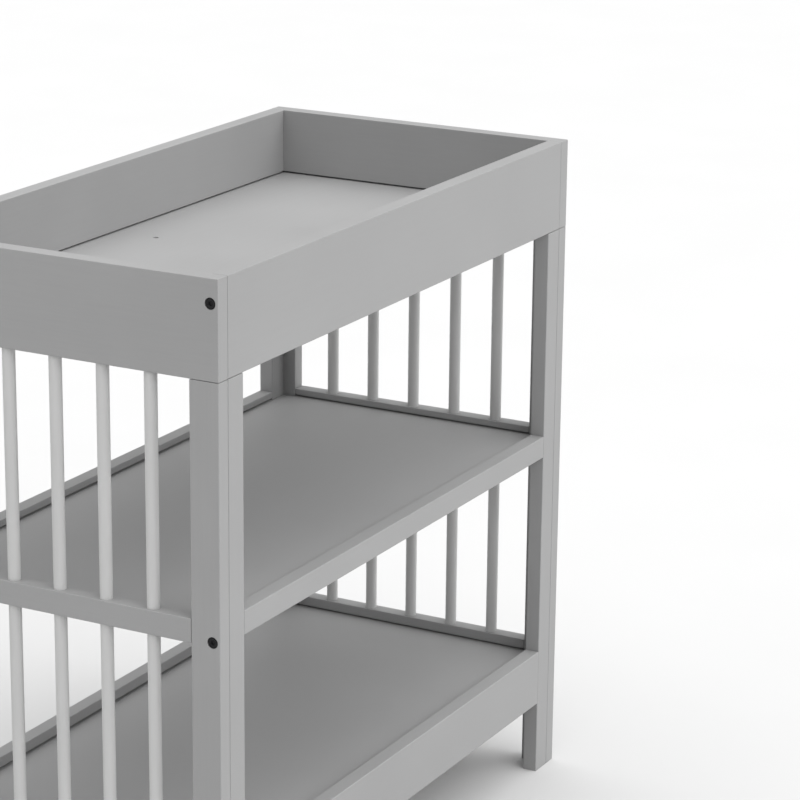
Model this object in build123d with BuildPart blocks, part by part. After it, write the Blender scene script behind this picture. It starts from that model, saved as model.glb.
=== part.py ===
from build123d import *
import os

# Open changing table: a tray with a rim on top, two open shelves under it, and end panels
# with round spindles. Millimetres. X runs along the table, Y from its front to its back and
# Z up. The origin is on the floor, under the middle of the table.

# ---- Table ----
LENGTH = 925.0
DEPTH = 466.0
HEIGHT = 927.0
STOCK = 21.0                # thickness of every board, stile, post and rail
EASE = 1.2                  # rounding of the long edges
END_EASE = 0.8              # rounding of the cut ends

TRAY_BOARD_HEIGHT = 123.0
TRAY_FLOOR_TOP = 835.0

STILE_WIDTH = 40.0          # across the end panel
INNER_POST_WIDTH = 34.0     # along the table
JOINT_GAP = 0.5             # fine open line where end boards, legs, tray boards and end rails meet

MID_RAIL_TOP = 510.0
MID_RAIL_HEIGHT = 31.0
MID_SHELF_TOP = 499.0
LOW_RAIL_TOP = 186.0
LOW_RAIL_HEIGHT = 80.0
LOW_SHELF_TOP = 170.0

PANEL_THICKNESS = 8.0
PANEL_EASE = 0.3
PANEL_GAP = 0.5             # between a panel's face and the boards, rails and legs round it
TONGUE_STEP = 0.5           # how far a panel's tongues lie below its face
GROOVE_DEPTH = 5.0          # of the grooves that carry the tray floor and the shelf panels
GROOVE_CLEARANCE = 2.4      # above a panel's face
GROOVE_END_GAP = 0.5        # between a tongue's edge and the bottom of its groove

SPINDLE_DIAMETER = 16.0
SPINDLES_PER_ROW = 5
SOCKET_DEPTH = 8.0

STRAP_HOLE_DIAMETER = 7.5   # in the tray floor, for the anchor strap of a changing pad
STRAP_HOLE_FROM_BACK = 84.0

# ---- Fasteners ----
BOLT_DIAMETER = 6.0
BOLT_HOLE_DIAMETER = 6.6
BOLT_PAST_NUT = 9.0
BOLT_TIP = 1.0
HEAD_DIAMETER = 14.0
HEAD_THICKNESS = 2.4
HEAD_CHAMFER = 0.7
HEAD_RECESS = 0.3           # how far the head lies below the surface
HEAD_CLEARANCE = 0.3        # radial, round the head
DISH_DIAMETER = 9.6         # the shallow cone round the hexagon socket
DISH_FLOOR_DIAMETER = 7.0
DISH_DEPTH = 0.8
HEXAGON_ACROSS_FLATS = 5.0
HEXAGON_DEPTH = 1.4

NUT_DIAMETER = 10.0
NUT_LENGTH = 10.0
NUT_THREAD_DIAMETER = 6.1
NUT_SLOT_WIDTH = 1.2
NUT_SLOT_DEPTH = 1.0
NUT_FROM_END = 20.0         # from the end of a tray board or a rail to the nut's axis
TRAY_BOLT_BELOW_RIM = 30.0
MID_BOLT_ABOVE_RAIL_BASE = 6.0
LOW_BOLT_ABOVE_RAIL_BASE = 37.0

DOWEL_DIAMETER = 8.0
DOWEL_DEPTH = 15.0          # the depth of an ordinary dowel hole, half of a dowel
DOWEL_DEPTH_IN_FACE = 12.0  # in the inner face of a tray end board
DOWEL_END_GAP = 0.5
DOWEL_CHAMFER = 0.8
TRAY_DOWEL_ABOVE_BASE = 56.0
END_MID_DOWEL_ABOVE_BASE = 15.5
LONG_MID_DOWEL_ABOVE_BASE = 21.5
LOW_DOWELS_ABOVE_BASE = (15.0, 59.0)
STILE_DOWEL_SPACING = 20.0

FIT_GAP = 0.1               # radial, round spindle ends, dowels and barrel nuts

# ---- Places that follow from them ----
END_X = LENGTH / 2
INSIDE_X = END_X - STOCK
END_PANEL_X = END_X - STOCK / 2
POST_INNER_X = INSIDE_X - INNER_POST_WIDTH
POST_OUTER_X = INSIDE_X - JOINT_GAP
POST_CENTRE_X = INSIDE_X - INNER_POST_WIDTH / 2

FACE_Y = DEPTH / 2
INSIDE_Y = FACE_Y - STOCK
RAIL_Y = FACE_Y - STOCK / 2
STILE_INNER_Y = FACE_Y - STILE_WIDTH
END_RAIL_HALF = STILE_INNER_Y - JOINT_GAP
STILE_DOWELS_Y = [FACE_Y - STILE_WIDTH / 2 + side * STILE_DOWEL_SPACING / 2 for side in (-1, 1)]

TRAY_BASE = HEIGHT - TRAY_BOARD_HEIGHT
LEG_TOP = TRAY_BASE - JOINT_GAP
MID_RAIL_BASE = MID_RAIL_TOP - MID_RAIL_HEIGHT
LOW_RAIL_BASE = LOW_RAIL_TOP - LOW_RAIL_HEIGHT

TRAY_BOLT_Z = HEIGHT - TRAY_BOLT_BELOW_RIM
MID_BOLT_Z = MID_RAIL_BASE + MID_BOLT_ABOVE_RAIL_BASE
LOW_BOLT_Z = LOW_RAIL_BASE + LOW_BOLT_ABOVE_RAIL_BASE
TRAY_NUT_X = INSIDE_X - NUT_FROM_END
RAIL_NUT_X = POST_INNER_X - NUT_FROM_END
NUT_HOLE_DEPTH = STOCK / 2 + NUT_LENGTH / 2
GROOVE_X = INSIDE_X + GROOVE_DEPTH
GROOVE_Y = INSIDE_Y + GROOVE_DEPTH

TRAY_DOWEL_Z = TRAY_BASE + TRAY_DOWEL_ABOVE_BASE
END_MID_DOWEL_Z = MID_RAIL_BASE + END_MID_DOWEL_ABOVE_BASE
LONG_MID_DOWEL_Z = MID_RAIL_BASE + LONG_MID_DOWEL_ABOVE_BASE
LOW_DOWELS_Z = [LOW_RAIL_BASE + height for height in LOW_DOWELS_ABOVE_BASE]
DOWEL_SPAN = 2 * DOWEL_DEPTH

SPINDLE_GAP = (2 * STILE_INNER_Y - SPINDLES_PER_ROW * SPINDLE_DIAMETER) / (SPINDLES_PER_ROW + 1)
SPINDLE_PITCH = SPINDLE_GAP + SPINDLE_DIAMETER
SPINDLES_Y = [(i - (SPINDLES_PER_ROW - 1) / 2) * SPINDLE_PITCH for i in range(SPINDLES_PER_ROW)]

SIDES = {"left": -1, "right": 1}
FACES = {"front": -1, "back": 1}
UP = (0, 0, 1)
DOWN = (0, 0, -1)


# ---- Shapes that repeat: each adds to, or cuts from, the piece being built ----
def eased_board(x_range, y_range, z_range, grain):
    """A board between three pairs of coordinates, rounded along its grain and at its ends."""
    ranges = (x_range, y_range, z_range)
    with Locations(tuple(sum(pair) / 2 for pair in ranges)):
        Box(*(abs(pair[1] - pair[0]) for pair in ranges))
    fillet(edges().filter_by(grain), EASE)
    ends = faces().sort_by(grain)
    fillet(ends[0].edges() + ends[-1].edges(), END_EASE)


def round_hole(mouth, direction, depth, diameter):
    with BuildSketch(Plane(origin=mouth, z_dir=direction)) as outline:
        Circle(diameter / 2)
    extrude(outline.sketch, amount=depth, mode=Mode.SUBTRACT)


def dowel_hole(mouth, direction, depth=DOWEL_DEPTH):
    round_hole(mouth, direction, depth, DOWEL_DIAMETER + 2 * FIT_GAP)


def nut_hole(mouth, direction, depth=NUT_HOLE_DEPTH):
    round_hole(mouth, direction, depth, NUT_DIAMETER + 2 * FIT_GAP)


def spindle_sockets(x, mouth_z, direction):
    for y in SPINDLES_Y:
        round_hole((x, y, mouth_z), direction, SOCKET_DEPTH, SPINDLE_DIAMETER + 2 * FIT_GAP)


def bolt_seat(side, y, z):
    """A through hole with a shallow counterbore, from the outer face of an end panel."""
    outer_point = (side * END_X, y, z)
    inwards = (-side, 0, 0)
    round_hole(outer_point, inwards, STOCK, BOLT_HOLE_DIAMETER)
    round_hole(outer_point, inwards, HEAD_THICKNESS + HEAD_RECESS, HEAD_DIAMETER + 2 * HEAD_CLEARANCE)


def panel_groove(x_range, y_range, panel_top):
    """A groove for a panel's edge, with a little height to spare above the panel."""
    z_range = (panel_top - PANEL_THICKNESS, panel_top + GROOVE_CLEARANCE)
    ranges = (x_range, y_range, z_range)
    with Locations(tuple(sum(pair) / 2 for pair in ranges)):
        Box(*(abs(pair[1] - pair[0]) for pair in ranges), mode=Mode.SUBTRACT)


def save(part, name):
    part.label = name
    export_step(part, f"parts/{name}.step")


os.makedirs("parts", exist_ok=True)


# ---- Tray ----
for side_name, side in SIDES.items():
    with BuildPart() as tray_end_board:
        eased_board((side * INSIDE_X, side * END_X), (-FACE_Y, FACE_Y), (TRAY_BASE, HEIGHT), Axis.Y)
        spindle_sockets(side * END_PANEL_X, TRAY_BASE, UP)
        panel_groove((side * INSIDE_X, side * GROOVE_X), (-GROOVE_Y, GROOVE_Y), TRAY_FLOOR_TOP)
        for face in FACES.values():
            bolt_seat(side, face * RAIL_Y, TRAY_BOLT_Z)
            inner_point = (side * INSIDE_X, face * RAIL_Y, TRAY_DOWEL_Z)
            dowel_hole(inner_point, (side, 0, 0), DOWEL_DEPTH_IN_FACE)
            for y in STILE_DOWELS_Y:
                dowel_hole((side * END_PANEL_X, face * y, TRAY_BASE), UP)
    save(tray_end_board.part, f"tray_end_board_{side_name}")

for face_name, face in FACES.items():
    with BuildPart() as tray_long_board:
        y_range = (face * INSIDE_Y, face * FACE_Y)
        eased_board((-POST_OUTER_X, POST_OUTER_X), y_range, (TRAY_BASE, HEIGHT), Axis.X)
        panel_groove((-INSIDE_X, INSIDE_X), (face * INSIDE_Y, face * GROOVE_Y), TRAY_FLOOR_TOP)
        for side in SIDES.values():
            inwards = (-side, 0, 0)
            bolt_mouth = (side * INSIDE_X, face * RAIL_Y, TRAY_BOLT_Z)
            round_hole(bolt_mouth, inwards, NUT_FROM_END + BOLT_PAST_NUT, BOLT_HOLE_DIAMETER)
            # The two long boards are the same piece, so both nuts enter from the +Y face.
            nut_hole((side * TRAY_NUT_X, face * RAIL_Y + STOCK / 2, TRAY_BOLT_Z), (0, -1, 0))
            dowel_mouth = (side * INSIDE_X, face * RAIL_Y, TRAY_DOWEL_Z)
            dowel_hole(dowel_mouth, inwards, DOWEL_SPAN - DOWEL_DEPTH_IN_FACE)
            dowel_hole((side * POST_CENTRE_X, face * RAIL_Y, TRAY_BASE), UP)
    save(tray_long_board.part, f"tray_{face_name}_board")


# ---- Tray floor and shelf panels, held by grooves in the boards and rails round them ----
def grooved_panel(top, tongue_sizes):
    """A panel with a flat face that fills the space inside, and tongues just below the face."""
    base = Plane.XY.offset(top - PANEL_THICKNESS)
    with BuildSketch(base) as face_outline:
        Rectangle(2 * (INSIDE_X - PANEL_GAP), 2 * (INSIDE_Y - PANEL_GAP))
    extrude(face_outline.sketch, amount=PANEL_THICKNESS)
    fillet(faces().sort_by(Axis.Z)[-1].edges(), PANEL_EASE)
    with BuildSketch(base) as tongue_outline:
        for half_x, half_y in tongue_sizes:
            Rectangle(2 * half_x, 2 * half_y)
    extrude(tongue_outline.sketch, amount=PANEL_THICKNESS - TONGUE_STEP)


TONGUE_END_X = GROOVE_X - GROOVE_END_GAP
TONGUE_END_Y = GROOVE_Y - GROOVE_END_GAP

with BuildPart() as tray_floor_panel:
    grooved_panel(TRAY_FLOOR_TOP, [(TONGUE_END_X, TONGUE_END_Y)])
    strap_hole_mouth = (0, FACE_Y - STRAP_HOLE_FROM_BACK, TRAY_FLOOR_TOP)
    round_hole(strap_hole_mouth, DOWN, PANEL_THICKNESS, STRAP_HOLE_DIAMETER)
save(tray_floor_panel.part, "tray_floor_panel")

# A shelf panel's tongues lie between the legs: two in the end rails and two in the long rails.
SHELF_TONGUES = [
    (TONGUE_END_X, STILE_INNER_Y - PANEL_GAP),
    (POST_INNER_X - PANEL_GAP, TONGUE_END_Y),
]
for shelf_name, shelf_top in (("mid", MID_SHELF_TOP), ("low", LOW_SHELF_TOP)):
    with BuildPart() as shelf_panel:
        grooved_panel(shelf_top, SHELF_TONGUES)
    save(shelf_panel.part, f"{shelf_name}_shelf_panel")

# ---- End panels: stiles, rails and spindles ----
for side_name, side in SIDES.items():
    for face_name, face in FACES.items():
        with BuildPart() as end_stile:
            x_range = (side * INSIDE_X, side * END_X)
            y_range = (face * STILE_INNER_Y, face * FACE_Y)
            eased_board(x_range, y_range, (0, LEG_TOP), Axis.Z)
            for bolt_z in (MID_BOLT_Z, LOW_BOLT_Z):
                bolt_seat(side, face * RAIL_Y, bolt_z)
            for dowel_z in (END_MID_DOWEL_Z, *LOW_DOWELS_Z):
                dowel_hole((side * END_PANEL_X, face * STILE_INNER_Y, dowel_z), (0, face, 0))
            for y in STILE_DOWELS_Y:
                dowel_hole((side * END_PANEL_X, face * y, TRAY_BASE), DOWN)
        save(end_stile.part, f"end_stile_{face_name}_{side_name}")

for side_name, side in SIDES.items():
    rail_x = side * END_PANEL_X
    x_range = (side * INSIDE_X, side * END_X)
    y_range = (-END_RAIL_HALF, END_RAIL_HALF)

    with BuildPart() as mid_end_rail:
        eased_board(x_range, y_range, (MID_RAIL_BASE, MID_RAIL_TOP), Axis.Y)
        spindle_sockets(rail_x, MID_RAIL_TOP, DOWN)
        spindle_sockets(rail_x, MID_RAIL_BASE, UP)
        panel_groove((side * INSIDE_X, side * GROOVE_X), y_range, MID_SHELF_TOP)
        for face in FACES.values():
            dowel_hole((rail_x, face * STILE_INNER_Y, END_MID_DOWEL_Z), (0, -face, 0))
    save(mid_end_rail.part, f"mid_end_rail_{side_name}")

    with BuildPart() as low_end_rail:
        eased_board(x_range, y_range, (LOW_RAIL_BASE, LOW_RAIL_TOP), Axis.Y)
        spindle_sockets(rail_x, LOW_RAIL_TOP, DOWN)
        panel_groove((side * INSIDE_X, side * GROOVE_X), y_range, LOW_SHELF_TOP)
        for face in FACES.values():
            for dowel_z in LOW_DOWELS_Z:
                dowel_hole((rail_x, face * STILE_INNER_Y, dowel_z), (0, -face, 0))
    save(low_end_rail.part, f"low_end_rail_{side_name}")

SPINDLE_ROWS = {"upper": (MID_RAIL_TOP, TRAY_BASE), "lower": (LOW_RAIL_TOP, MID_RAIL_BASE)}
for side_name, side in SIDES.items():
    for row_name, (row_base, row_top) in SPINDLE_ROWS.items():
        for number, y in enumerate(SPINDLES_Y, start=1):
            with BuildPart() as spindle:
                with BuildSketch(Plane((side * END_PANEL_X, y, row_base - SOCKET_DEPTH))):
                    Circle(SPINDLE_DIAMETER / 2)
                extrude(amount=row_top - row_base + 2 * SOCKET_DEPTH)
                chamfer(edges().filter_by(GeomType.CIRCLE), END_EASE)
            save(spindle.part, f"spindle_{row_name}_{side_name}_{number}")

# ---- Inner posts: the inner halves of the legs, under the ends of the long tray boards ----
for side_name, side in SIDES.items():
    for face_name, face in FACES.items():
        with BuildPart() as inner_post:
            x_range = (side * POST_INNER_X, side * POST_OUTER_X)
            y_range = (face * INSIDE_Y, face * FACE_Y)
            eased_board(x_range, y_range, (0, LEG_TOP), Axis.Z)
            for bolt_z in (MID_BOLT_Z, LOW_BOLT_Z):
                outer_point = (side * INSIDE_X, face * RAIL_Y, bolt_z)
                round_hole(outer_point, (-side, 0, 0), INNER_POST_WIDTH, BOLT_HOLE_DIAMETER)
            for dowel_z in (LONG_MID_DOWEL_Z, *LOW_DOWELS_Z):
                dowel_hole((side * POST_INNER_X, face * RAIL_Y, dowel_z), (side, 0, 0))
            dowel_hole((side * POST_CENTRE_X, face * RAIL_Y, TRAY_BASE), DOWN)
        save(inner_post.part, f"inner_post_{face_name}_{side_name}")

# ---- Long rails, bolted between the inner posts: a pair at the front and a pair at the back ----
BOLT_DEPTH_IN_RAIL = NUT_FROM_END + BOLT_PAST_NUT

for face_name, face in FACES.items():
    x_range = (-POST_INNER_X, POST_INNER_X)
    y_range = (face * INSIDE_Y, face * FACE_Y)
    groove_y_range = (face * INSIDE_Y, face * GROOVE_Y)

    with BuildPart() as mid_long_rail:
        eased_board(x_range, y_range, (MID_RAIL_BASE, MID_RAIL_TOP), Axis.X)
        panel_groove(x_range, groove_y_range, MID_SHELF_TOP)
        for side in SIDES.values():
            inwards = (-side, 0, 0)
            bolt_mouth = (side * POST_INNER_X, face * RAIL_Y, MID_BOLT_Z)
            round_hole(bolt_mouth, inwards, BOLT_DEPTH_IN_RAIL, BOLT_HOLE_DIAMETER)
            nut_mouth = (side * RAIL_NUT_X, face * RAIL_Y, MID_RAIL_BASE)
            nut_hole(nut_mouth, UP, MID_BOLT_ABOVE_RAIL_BASE + NUT_LENGTH / 2)
            dowel_hole((side * POST_INNER_X, face * RAIL_Y, LONG_MID_DOWEL_Z), inwards)
    save(mid_long_rail.part, f"mid_{face_name}_rail")

    with BuildPart() as low_long_rail:
        eased_board(x_range, y_range, (LOW_RAIL_BASE, LOW_RAIL_TOP), Axis.X)
        panel_groove(x_range, groove_y_range, LOW_SHELF_TOP)
        for side in SIDES.values():
            inwards = (-side, 0, 0)
            bolt_mouth = (side * POST_INNER_X, face * RAIL_Y, LOW_BOLT_Z)
            round_hole(bolt_mouth, inwards, BOLT_DEPTH_IN_RAIL, BOLT_HOLE_DIAMETER)
            nut_hole((side * RAIL_NUT_X, face * INSIDE_Y, LOW_BOLT_Z), (0, face, 0))
            for dowel_z in LOW_DOWELS_Z:
                dowel_hole((side * POST_INNER_X, face * RAIL_Y, dowel_z), inwards)
    save(low_long_rail.part, f"low_{face_name}_rail")


# ---- Connector bolts: flat heads with a hexagon socket, plain shanks for the threads ----
def connector_bolt(length):
    """A bolt that points down -Z, with the top of its head at the origin."""
    shank = BOLT_DIAMETER / 2
    head = HEAD_DIAMETER / 2
    with BuildPart() as bolt:
        with BuildSketch(Plane.XZ):
            with BuildLine():
                Polyline(
                    (0, -DISH_DEPTH),
                    (DISH_FLOOR_DIAMETER / 2, -DISH_DEPTH),
                    (DISH_DIAMETER / 2, 0),
                    (head - HEAD_CHAMFER, 0),
                    (head, -HEAD_CHAMFER),
                    (head, -HEAD_THICKNESS),
                    (shank, -HEAD_THICKNESS),
                    (shank, BOLT_TIP - length),
                    (shank - BOLT_TIP, -length),
                    (0, -length),
                    close=True,
                )
            make_face()
        revolve(axis=Axis.Z)
        with BuildSketch(Plane.XY.offset(-DISH_DEPTH)):
            RegularPolygon(HEXAGON_ACROSS_FLATS / 2, 6, major_radius=False)
        extrude(amount=-HEXAGON_DEPTH, mode=Mode.SUBTRACT)
    return bolt.part


HEAD_X = END_X - HEAD_RECESS
tray_bolt = connector_bolt(HEAD_X - TRAY_NUT_X + BOLT_PAST_NUT)
rail_bolt = connector_bolt(HEAD_X - RAIL_NUT_X + BOLT_PAST_NUT)

with BuildPart() as connector_bolts:
    for side in SIDES.values():
        for face in FACES.values():
            for bolt, z in ((tray_bolt, TRAY_BOLT_Z), (rail_bolt, MID_BOLT_Z), (rail_bolt, LOW_BOLT_Z)):
                with Locations(Plane(origin=(side * HEAD_X, face * RAIL_Y, z), z_dir=(side, 0, 0))):
                    add(bolt)
save(connector_bolts.part, "connector_bolts")


# ---- Barrel nuts: a cross thread, and a slot in the end that shows which way it points ----
def barrel_nut():
    """A nut with its axis along Z, its slotted end up and its thread along X."""
    with BuildPart() as nut:
        Cylinder(NUT_DIAMETER / 2, NUT_LENGTH)
        with BuildSketch(Plane.YZ):
            Circle(NUT_THREAD_DIAMETER / 2)
        extrude(amount=NUT_DIAMETER, both=True, mode=Mode.SUBTRACT)
        with BuildSketch(Plane.XY.offset(NUT_LENGTH / 2)):
            Rectangle(NUT_DIAMETER, NUT_SLOT_WIDTH)
        extrude(amount=-NUT_SLOT_DEPTH, mode=Mode.SUBTRACT)
    return nut.part


nut = barrel_nut()
ALONG_X = (1, 0, 0)
nut_places = []
for side in SIDES.values():
    for face in FACES.values():
        tray_nut_centre = (side * TRAY_NUT_X, face * RAIL_Y, TRAY_BOLT_Z)
        nut_places.append(Plane(origin=tray_nut_centre, x_dir=ALONG_X, z_dir=(0, 1, 0)))
        low_nut_centre = (side * RAIL_NUT_X, face * RAIL_Y, LOW_BOLT_Z)
        nut_places.append(Plane(origin=low_nut_centre, x_dir=ALONG_X, z_dir=(0, -face, 0)))
        mid_nut_centre = (side * RAIL_NUT_X, face * RAIL_Y, MID_BOLT_Z)
        nut_places.append(Plane(origin=mid_nut_centre, x_dir=ALONG_X, z_dir=DOWN))

with BuildPart() as barrel_nuts:
    with Locations(*nut_places):
        add(nut)
save(barrel_nuts.part, "barrel_nuts")

# ---- Dowels ----
with BuildPart() as dowel:
    Cylinder(DOWEL_DIAMETER / 2, DOWEL_SPAN - 2 * DOWEL_END_GAP)
    chamfer(edges().filter_by(GeomType.CIRCLE), DOWEL_CHAMFER)

dowel_places = []
for side in SIDES.values():
    along_x = (side, 0, 0)
    for face in FACES.values():
        for y in STILE_DOWELS_Y:
            dowel_places.append(Plane((side * END_PANEL_X, face * y, TRAY_BASE)))
        dowel_places.append(Plane((side * POST_CENTRE_X, face * RAIL_Y, TRAY_BASE)))
        tray_dowel_x = INSIDE_X + DOWEL_DEPTH_IN_FACE - DOWEL_DEPTH
        tray_dowel_centre = (side * tray_dowel_x, face * RAIL_Y, TRAY_DOWEL_Z)
        dowel_places.append(Plane(tray_dowel_centre, z_dir=along_x))
        for z in (END_MID_DOWEL_Z, *LOW_DOWELS_Z):
            end_rail_joint = (side * END_PANEL_X, face * STILE_INNER_Y, z)
            dowel_places.append(Plane(end_rail_joint, z_dir=(0, 1, 0)))
        for z in (LONG_MID_DOWEL_Z, *LOW_DOWELS_Z):
            dowel_places.append(Plane((side * POST_INNER_X, face * RAIL_Y, z), z_dir=along_x))

with BuildPart() as dowels:
    with Locations(*dowel_places):
        add(dowel.part)
save(dowels.part, "dowels")
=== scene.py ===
import math

import bpy
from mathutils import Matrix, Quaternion, Vector


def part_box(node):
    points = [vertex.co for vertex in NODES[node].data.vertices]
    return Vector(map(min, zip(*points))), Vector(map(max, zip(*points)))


# The looks of an open changing table: satin grey paint on wood, white spindles, black bolts.
# Metres, in the frame of the CAD model, with the front facing -Y and the floor at Z = 0.

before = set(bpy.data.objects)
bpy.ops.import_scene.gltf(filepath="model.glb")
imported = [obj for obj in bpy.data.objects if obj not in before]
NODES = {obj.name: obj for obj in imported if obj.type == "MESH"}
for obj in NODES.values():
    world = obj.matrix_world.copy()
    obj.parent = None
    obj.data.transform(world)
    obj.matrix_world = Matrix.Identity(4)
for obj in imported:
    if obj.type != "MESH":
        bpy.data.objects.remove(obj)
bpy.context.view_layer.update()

# ---- Camera: from the front left, above the tray ----
CAMERA_AT = (-3.347, -2.018, 1.780)
CAMERA_HEADING = 28.233         # degrees from +X towards +Y
CAMERA_PITCH = -16.35
CAMERA_ROLL = 0.6
LENS = 138.5
SENSOR = 36.0

# ---- Stage ----
FLOOR_HALF = 60.0
FLOOR_ALBEDO = 0.60
OVERHEAD_LIGHT = 2.08
HORIZON_LIGHT = 0.8
SIDE_LIGHT = {                  # halfway up on each side: its direction and its strength
    "front": ("Y", -1.0, 4.40),
    "back": ("Y", 1.0, 1.30),
    "left": ("X", -1.0, 0.52),
    "right": ("X", 1.0, 0.42),
}

# ---- Finishes, in linear light ----
NEUTRAL = (1.0, 1.0, 1.0)
GREY = 0.30
WHITE = 0.50
# painted highlight along the rounded edges, with a little paint wear there
EDGE_HIGHLIGHT_AND_WEAR_LIFT = 0.07


# ---- Node helpers ----
def new_material(name):
    material = bpy.data.materials.new(name)
    material.use_nodes = True
    tree = material.node_tree
    return material, tree, tree.nodes["Principled BSDF"]


def node(tree, kind, **properties):
    made = tree.nodes.new(kind)
    for key, value in properties.items():
        setattr(made, key, value)
    return made


def link(tree, source, target):
    tree.links.new(source, target)


def noise(tree, vector, scale, detail=3.0, roughness=0.5):
    made = node(tree, "ShaderNodeTexNoise")
    made.inputs["Scale"].default_value = scale
    made.inputs["Detail"].default_value = detail
    made.inputs["Roughness"].default_value = roughness
    link(tree, vector, made.inputs["Vector"])
    return made.outputs["Fac"]


def remap(tree, value, low, high, from_low=0.3, from_high=0.7):
    """value, which runs about from_low to from_high, stretched to low to high."""
    made = node(tree, "ShaderNodeMapRange")
    made.inputs["From Min"].default_value = from_low
    made.inputs["From Max"].default_value = from_high
    made.inputs["To Min"].default_value = low
    made.inputs["To Max"].default_value = high
    link(tree, value, made.inputs["Value"])
    return made.outputs["Result"]


def maths(tree, operation, first, second):
    made = node(tree, "ShaderNodeMath", operation=operation)
    for socket, value in zip(made.inputs, (first, second)):
        if isinstance(value, (int, float)):
            socket.default_value = value
        else:
            link(tree, value, socket)
    return made.outputs["Value"]


def tinted(tree, value, tint):
    """A colour from one grey value times a tint."""
    made = node(tree, "ShaderNodeCombineColor")
    for channel, part in zip(("Red", "Green", "Blue"), tint):
        link(tree, maths(tree, "MULTIPLY", value, part), made.inputs[channel])
    return made.outputs["Color"]


def add_bump(tree, shader, relief, strength, distance):
    bump = node(tree, "ShaderNodeBump")
    bump.inputs["Strength"].default_value = strength
    bump.inputs["Distance"].default_value = distance
    link(tree, relief, bump.inputs["Height"])
    link(tree, bump.outputs["Normal"], shader.inputs["Normal"])


def stretched_position(tree, stretch=(1, 1, 1)):
    """Object coordinates scaled so that a texture runs long in some directions."""
    place = node(tree, "ShaderNodeTexCoord")
    mapping = node(tree, "ShaderNodeMapping")
    mapping.inputs["Scale"].default_value = stretch
    link(tree, place.outputs["Object"], mapping.inputs["Vector"])
    return mapping.outputs["Vector"]


def rise(tree, value, start, end):
    """0 below start, 1 above end, with a smooth rise between them."""
    made = node(tree, "ShaderNodeMapRange", interpolation_type="SMOOTHSTEP")
    made.inputs["From Min"].default_value = start
    made.inputs["From Max"].default_value = end
    link(tree, value, made.inputs["Value"])
    return made.outputs["Result"]


def edge_mask(tree, radius):
    """1 along rounded edges, 0 on flat faces: where a wide bevel would turn the surface."""
    bevel = node(tree, "ShaderNodeBevel", samples=6)
    bevel.inputs["Radius"].default_value = radius
    surface = node(tree, "ShaderNodeNewGeometry")
    likeness = node(tree, "ShaderNodeVectorMath", operation="DOT_PRODUCT")
    link(tree, bevel.outputs["Normal"], likeness.inputs[0])
    link(tree, surface.outputs["Normal"], likeness.inputs[1])
    return rise(tree, maths(tree, "SUBTRACT", 1.0, likeness.outputs["Value"]), 0.01, 0.12)


# ---- Paint ----
GRAIN_STRETCH = {"X": (0.04, 1, 1), "Y": (1, 0.04, 1), "Z": (1, 1, 0.04)}


def painted_wood(name, level, tint, grain, roughness):
    """Sprayed paint over sanded wood whose grain still shows faintly along one direction."""
    material, tree, shader = new_material(name)
    place = stretched_position(tree)
    along_grain = stretched_position(tree, GRAIN_STRETCH[grain])

    cloud = noise(tree, place, 5.0, detail=2.0)
    grain_lines = noise(tree, along_grain, 260.0, detail=4.0, roughness=0.6)
    orange_peel = noise(tree, place, 900.0, detail=2.0)
    speckle = noise(tree, place, 2600.0, detail=1.0)

    # Painted highlight: the colour is lifted along the rounded edges, as if light catches them there; the
    # paint is also a little thinner and smoother along the edges.
    highlit_worn_edge = edge_mask(tree, 0.0014)
    shade = maths(tree, "MULTIPLY", remap(tree, cloud, 0.97, 1.03), remap(tree, grain_lines, 0.985, 1.015))
    # painted highlight: the colour is made brighter along the rounded edges
    shade = maths(tree, "MULTIPLY", shade, maths(tree, "ADD", maths(tree, "MULTIPLY", highlit_worn_edge, EDGE_HIGHLIGHT_AND_WEAR_LIFT), 1.0))
    value = maths(tree, "MULTIPLY", shade, level)
    link(tree, tinted(tree, value, tint), shader.inputs["Base Color"])

    patchy = remap(tree, cloud, roughness - 0.04, roughness + 0.05)
    rough = maths(tree, "ADD", patchy, remap(tree, grain_lines, -0.03, 0.03))
    rough = maths(tree, "SUBTRACT", rough, maths(tree, "MULTIPLY", highlit_worn_edge, 0.08))
    link(tree, rough, shader.inputs["Roughness"])

    relief = maths(tree, "MULTIPLY", grain_lines, 0.8)
    relief = maths(tree, "ADD", relief, maths(tree, "MULTIPLY", orange_peel, 0.5))
    relief = maths(tree, "ADD", relief, maths(tree, "MULTIPLY", speckle, 0.12))
    add_bump(tree, shader, relief, 0.35, 0.00012)
    shader.inputs["Specular IOR Level"].default_value = 0.35
    return material


GREY_TINT = (1.0, 1.0, 1.003)
WHITE_TINT = (1.0, 1.0, 0.995)
grey_paint = {g: painted_wood(f"grey_paint_along_{g.lower()}", GREY, GREY_TINT, g, 0.47) for g in "XYZ"}
white_paint = painted_wood("white_paint", WHITE, WHITE_TINT, "Z", 0.38)


# ---- Metal and bare wood ----
def metal(name, colour, roughness, scratch_strength):
    material, tree, shader = new_material(name)
    place = stretched_position(tree)
    mottle = noise(tree, place, 700.0, detail=3.0)
    fine = noise(tree, place, 4200.0, detail=2.0)
    shade = remap(tree, mottle, 0.85, 1.15)
    link(tree, tinted(tree, shade, colour), shader.inputs["Base Color"])
    link(tree, remap(tree, mottle, roughness - 0.06, roughness + 0.08), shader.inputs["Roughness"])
    add_bump(tree, shader, fine, scratch_strength, 0.00005)
    return material, shader


black_steel, black_shader = metal("black_coated_steel", (0.005, 0.005, 0.006), 0.36, 0.3)
black_shader.inputs["Specular IOR Level"].default_value = 0.22
zinc_steel, zinc_shader = metal("zinc_plated_steel", (0.62, 0.63, 0.64), 0.34, 0.25)
zinc_shader.inputs["Metallic"].default_value = 1.0


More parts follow.
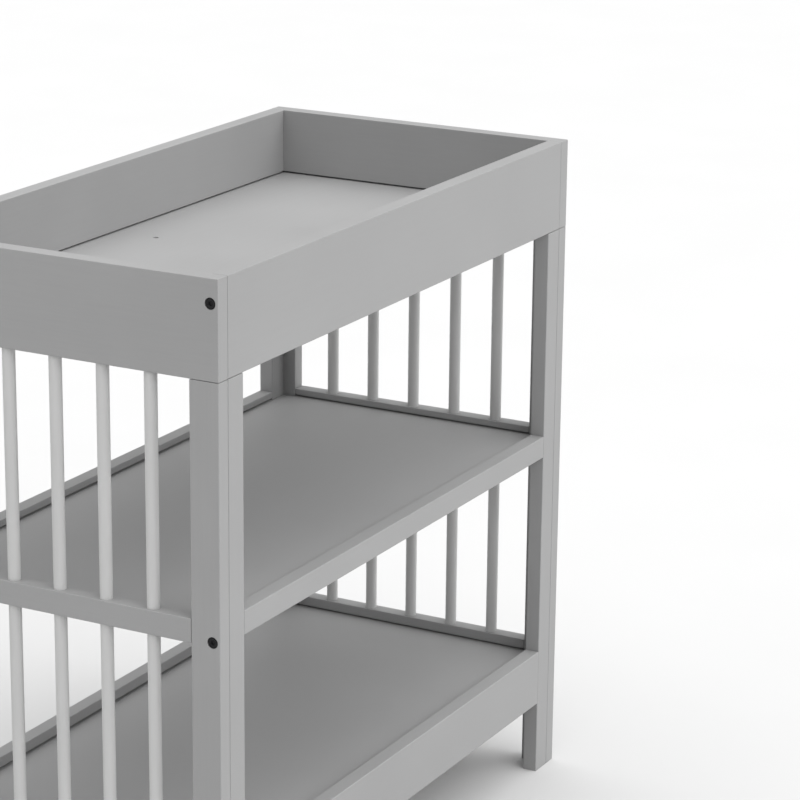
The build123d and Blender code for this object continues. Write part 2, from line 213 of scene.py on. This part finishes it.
def bare_beech():
    material, tree, shader = new_material("bare_beech")
    along_grain = stretched_position(tree, (1, 1, 0.12))
    lines = noise(tree, along_grain, 420.0, detail=5.0, roughness=0.65)
    ramp = node(tree, "ShaderNodeValToRGB")
    ramp.color_ramp.elements[0].position = 0.32
    ramp.color_ramp.elements[0].color = (0.46, 0.29, 0.15, 1)
    ramp.color_ramp.elements[1].position = 0.68
    ramp.color_ramp.elements[1].color = (0.70, 0.50, 0.30, 1)
    link(tree, lines, ramp.inputs["Fac"])
    link(tree, ramp.outputs["Color"], shader.inputs["Base Color"])
    link(tree, remap(tree, lines, 0.6, 0.75), shader.inputs["Roughness"])
    add_bump(tree, shader, lines, 0.4, 0.00008)
    return material


beech = bare_beech()


# ---- Each piece gets its finish; painted boards take the grain of their longest side ----
def longest_axis(name):
    low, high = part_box(name)
    size = high - low
    return "XYZ"[max(range(3), key=lambda i: size[i])]


def finish_for(name):
    if name.startswith("spindle_"):
        return white_paint
    hardware = {
        "connector_bolts": black_steel,
        "barrel_nuts": zinc_steel,
        "dowels": beech,
    }
    return hardware.get(name) or grey_paint[longest_axis(name)]


for name, piece in NODES.items():
    if not piece.material_slots:
        piece.data.materials.append(None)
    for material_slot in piece.material_slots:
        material_slot.material = finish_for(name)


# ---- Stage: a pale floor that runs far behind the table ----
def pale_floor():
    bpy.ops.mesh.primitive_plane_add(size=2 * FLOOR_HALF, location=(0, 0, 0))
    floor = bpy.context.object
    floor.name = "floor"
    material, tree, shader = new_material("floor_paint")
    place = stretched_position(tree)
    mottle = remap(tree, noise(tree, place, 3.0), FLOOR_ALBEDO - 0.004, FLOOR_ALBEDO + 0.004)
    link(tree, tinted(tree, mottle, NEUTRAL), shader.inputs["Base Color"])
    shader.inputs["Roughness"].default_value = 0.9
    shader.inputs["Specular IOR Level"].default_value = 0.1
    floor.data.materials.append(material)


def studio_light():
    """A soft dome: a wide light high at the front, a dimmer one overhead, little from the sides."""
    world = bpy.data.worlds.new("studio")
    bpy.context.scene.world = world
    world.use_nodes = True
    tree = world.node_tree
    background = tree.nodes["Background"]
    direction = node(tree, "ShaderNodeTexCoord").outputs["Generated"]
    parts = node(tree, "ShaderNodeSeparateXYZ")
    link(tree, direction, parts.inputs["Vector"])

    height = parts.outputs["Z"]
    overhead = rise(tree, height, 0.5, 0.9)
    halfway_up = maths(tree, "SUBTRACT", rise(tree, height, 0.15, 0.55), overhead)
    horizon = maths(tree, "SUBTRACT", 1.0, rise(tree, height, 0.0, 0.25))

    x_squared = maths(tree, "POWER", parts.outputs["X"], 2.0)
    y_squared = maths(tree, "POWER", parts.outputs["Y"], 2.0)
    level_squared = maths(tree, "MAXIMUM", maths(tree, "ADD", x_squared, y_squared), 1e-6)

    light = maths(tree, "MULTIPLY", overhead, OVERHEAD_LIGHT)
    light = maths(tree, "ADD", light, maths(tree, "MULTIPLY", horizon, HORIZON_LIGHT))
    for axis, sign, strength in SIDE_LIGHT.values():
        towards = maths(tree, "MAXIMUM", maths(tree, "MULTIPLY", parts.outputs[axis], sign), 0.0)
        share = maths(tree, "DIVIDE", maths(tree, "POWER", towards, 2.0), level_squared)
        side_light = maths(tree, "MULTIPLY", maths(tree, "MULTIPLY", share, halfway_up), strength)
        light = maths(tree, "ADD", light, side_light)

    link(tree, tinted(tree, light, NEUTRAL), background.inputs["Color"])
    background.inputs["Strength"].default_value = 1.0


def place_camera():
    camera = bpy.data.objects.new("camera", bpy.data.cameras.new("camera"))
    bpy.context.scene.collection.objects.link(camera)
    heading, pitch = math.radians(CAMERA_HEADING), math.radians(CAMERA_PITCH)
    forward = Vector((
        math.cos(pitch) * math.cos(heading),
        math.cos(pitch) * math.sin(heading),
        math.sin(pitch),
    ))
    camera.rotation_mode = "QUATERNION"
    roll = Quaternion((0, 0, 1), math.radians(CAMERA_ROLL))
    camera.rotation_quaternion = forward.to_track_quat("-Z", "Y") @ roll
    camera.location = CAMERA_AT
    camera.data.lens = LENS
    camera.data.sensor_width = SENSOR
    camera.data.clip_end = 200.0
    bpy.context.scene.camera = camera


pale_floor()
studio_light()
place_camera()
bpy.context.scene.view_settings.view_transform = "Standard"
